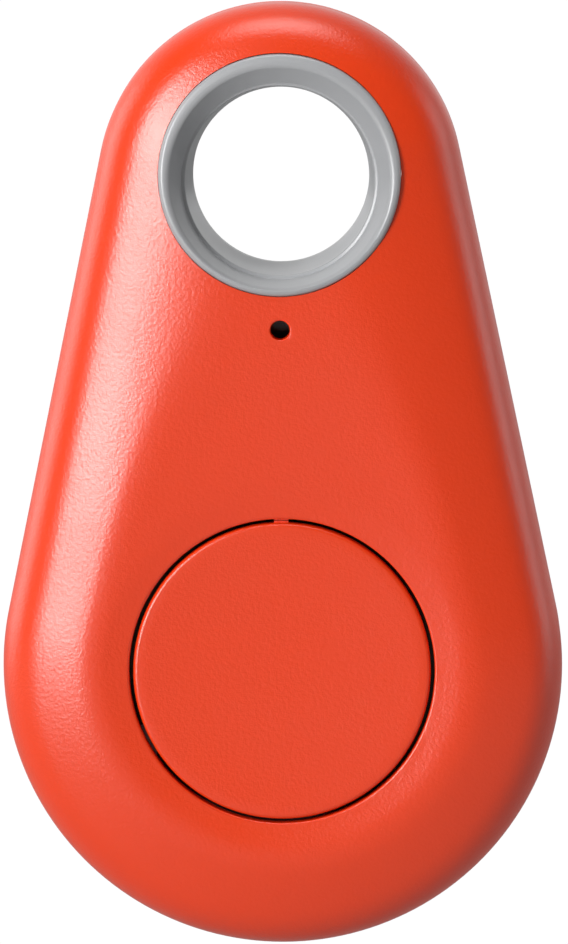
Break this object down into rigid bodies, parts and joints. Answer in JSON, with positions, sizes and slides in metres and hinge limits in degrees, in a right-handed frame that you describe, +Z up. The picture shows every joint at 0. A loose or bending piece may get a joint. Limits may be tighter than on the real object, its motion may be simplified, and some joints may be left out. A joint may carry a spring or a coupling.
{
  "type": "bluetooth tracker tag",
  "caption": "Teardrop key-finder tag: domed two-part case with a lined key-ring eye, round press button in a shallow dish, board, sounder and coin cell inside.",
  "frame": {"origin": "middle of the key-ring eye, half way through the thickness", "axes": "+Z up along the tag from the button to the eye, front face towards -Y, +X across the tag"},
  "size_m": [0.031, 0.0112, 0.0522],
  "materials": {
    "orange_abs": "satin spark-eroded",
    "grey_abs": "satin moulded",
    "board_laminate": "green solder resist",
    "copper": "bare",
    "chip_epoxy": "moulded",
    "tinned_steel": "tin plated",
    "nickel_steel": "nickel plated",
    "spring_bronze": "gold flashed",
    "capacitor_ceramic": "matte",
    "resistor_ceramic": "glazed",
    "lamp_ceramic": "white",
    "lens_epoxy": "clear",
    "nylon_natural": "moulded",
    "iron": "machined",
    "ferrite": "ground",
    "cathode_mix": "pressed",
    "separator_paper": "felted",
    "lithium": "rolled"
  },
  "bodies": {
    "tag": {"front_cover": "orange_abs", "eyelet_front": "grey_abs", "circuit_board": "board_laminate", "antenna_trace": "copper", "radio_chip": "chip_epoxy", "chip_leads": "tinned_steel", "crystal": "tinned_steel", "chip_capacitors": "capacitor_ceramic", "chip_resistors": "resistor_ceramic", "status_led": "lamp_ceramic", "led_lens": "lens_epoxy", "switch_base": "chip_epoxy", "switch_plate": "nickel_steel", "switch_dome": "nickel_steel", "switch_terminals": "tinned_steel", "buzzer_base": "chip_epoxy", "buzzer_case": "chip_epoxy", "buzzer_core": "iron", "buzzer_magnet": "ferrite", "buzzer_coil": "copper", "buzzer_diaphragm": "nickel_steel", "buzzer_terminals": "tinned_steel", "battery_clip": "nickel_steel", "negative_spring": "spring_bronze"},
    "button": {"button_cap": "orange_abs"},
    "plunger": {"switch_plunger": "nylon_natural"},
    "rear": {"rear_cover": "orange_abs", "eyelet_rear": "grey_abs"},
    "cell": {"cell_can": "nickel_steel", "cell_gasket": "nylon_natural", "cell_cap": "nickel_steel", "cathode_pellet": "cathode_mix", "separator": "separator_paper", "lithium_disc": "lithium"}
  },
  "joints": [
    {"name": "button_press", "type": "hinge", "parent": "tag", "child": "button", "pos_m": [0, -0.00432, -0.01868], "axis": [1, 0, 0], "range_deg": [0, 1.7], "stiffness_Nm_per_rad": 0.4},
    {"name": "plunger_travel", "type": "slide", "parent": "tag", "child": "plunger", "axis": [0, 1, 0], "range_m": [0, 0.00025]},
    {"name": "rear_cover_release", "type": "slide", "parent": "tag", "child": "rear", "axis": [0, 1, 0], "range_m": [0, 0.024]},
    {"name": "cell_slide", "type": "slide", "parent": "tag", "child": "cell", "axis": [0, 0, -1], "range_m": [0, 0.018]}
  ],
  "couplings": [
    {"joint": "plunger_travel", "follows": "button_press", "m_per_rad": 0.00832},
    {"joint": "cell_slide", "follows": "rear_cover_release", "ratio": 0.75}
  ]
}
